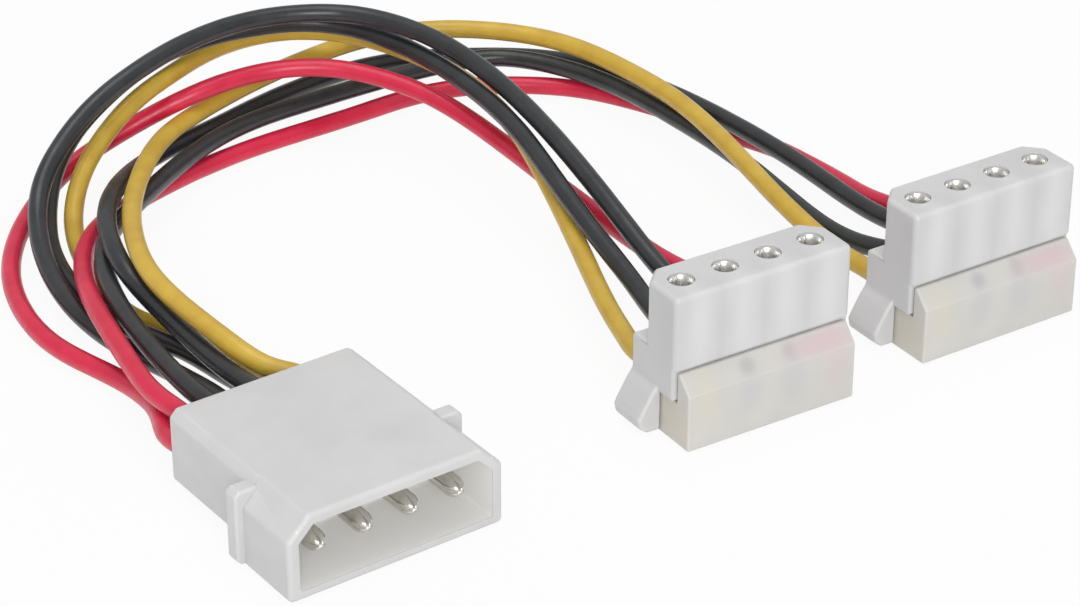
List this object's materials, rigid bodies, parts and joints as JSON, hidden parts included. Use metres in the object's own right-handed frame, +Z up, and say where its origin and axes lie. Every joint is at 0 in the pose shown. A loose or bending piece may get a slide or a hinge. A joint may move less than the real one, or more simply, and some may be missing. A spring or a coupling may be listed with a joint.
{
  "type": "power splitter cable",
  "caption": "Disk drive power splitter cable: a keyed pin plug whose wires run in pairs to two right-angle wire-cover sockets.",
  "frame": {"origin": "middle of the plug's front bottom edge, on the surface that the cable lies on", "axes": "+X along the plug's row of pins, -Y out of the plug's mouth, +Y the way its wires leave, +Z up"},
  "size_m": [0.0982, 0.0895, 0.0162],
  "materials": {
    "plug_nylon": "natural translucent nylon, satin",
    "socket_nylon": "natural translucent nylon, satin",
    "cover_nylon": "natural translucent nylon, satin",
    "tin": "bright tin plate",
    "contact_tin": "tin plate",
    "yellow_vinyl": "glossy vinyl",
    "black_vinyl": "glossy vinyl",
    "red_vinyl": "glossy vinyl"
  },
  "bodies": {
    "root": {"plug_housing": "plug_nylon", "plug_pin_1": "tin", "plug_pin_2": "tin", "plug_pin_3": "tin", "plug_pin_4": "tin", "socket_a_housing": "socket_nylon", "socket_a_cover": "cover_nylon", "socket_a_contact_1": "contact_tin", "socket_a_contact_2": "contact_tin", "socket_a_contact_3": "contact_tin", "socket_a_contact_4": "contact_tin", "socket_b_housing": "socket_nylon", "socket_b_cover": "cover_nylon", "socket_b_contact_1": "contact_tin", "socket_b_contact_2": "contact_tin", "socket_b_contact_3": "contact_tin", "socket_b_contact_4": "contact_tin", "wire_a_yellow": "yellow_vinyl", "wire_a_black_1": "black_vinyl", "wire_a_black_2": "black_vinyl", "wire_a_red": "red_vinyl", "wire_b_yellow": "yellow_vinyl", "wire_b_black_1": "black_vinyl", "wire_b_black_2": "black_vinyl", "wire_b_red": "red_vinyl"}
  },
  "joints": []
}
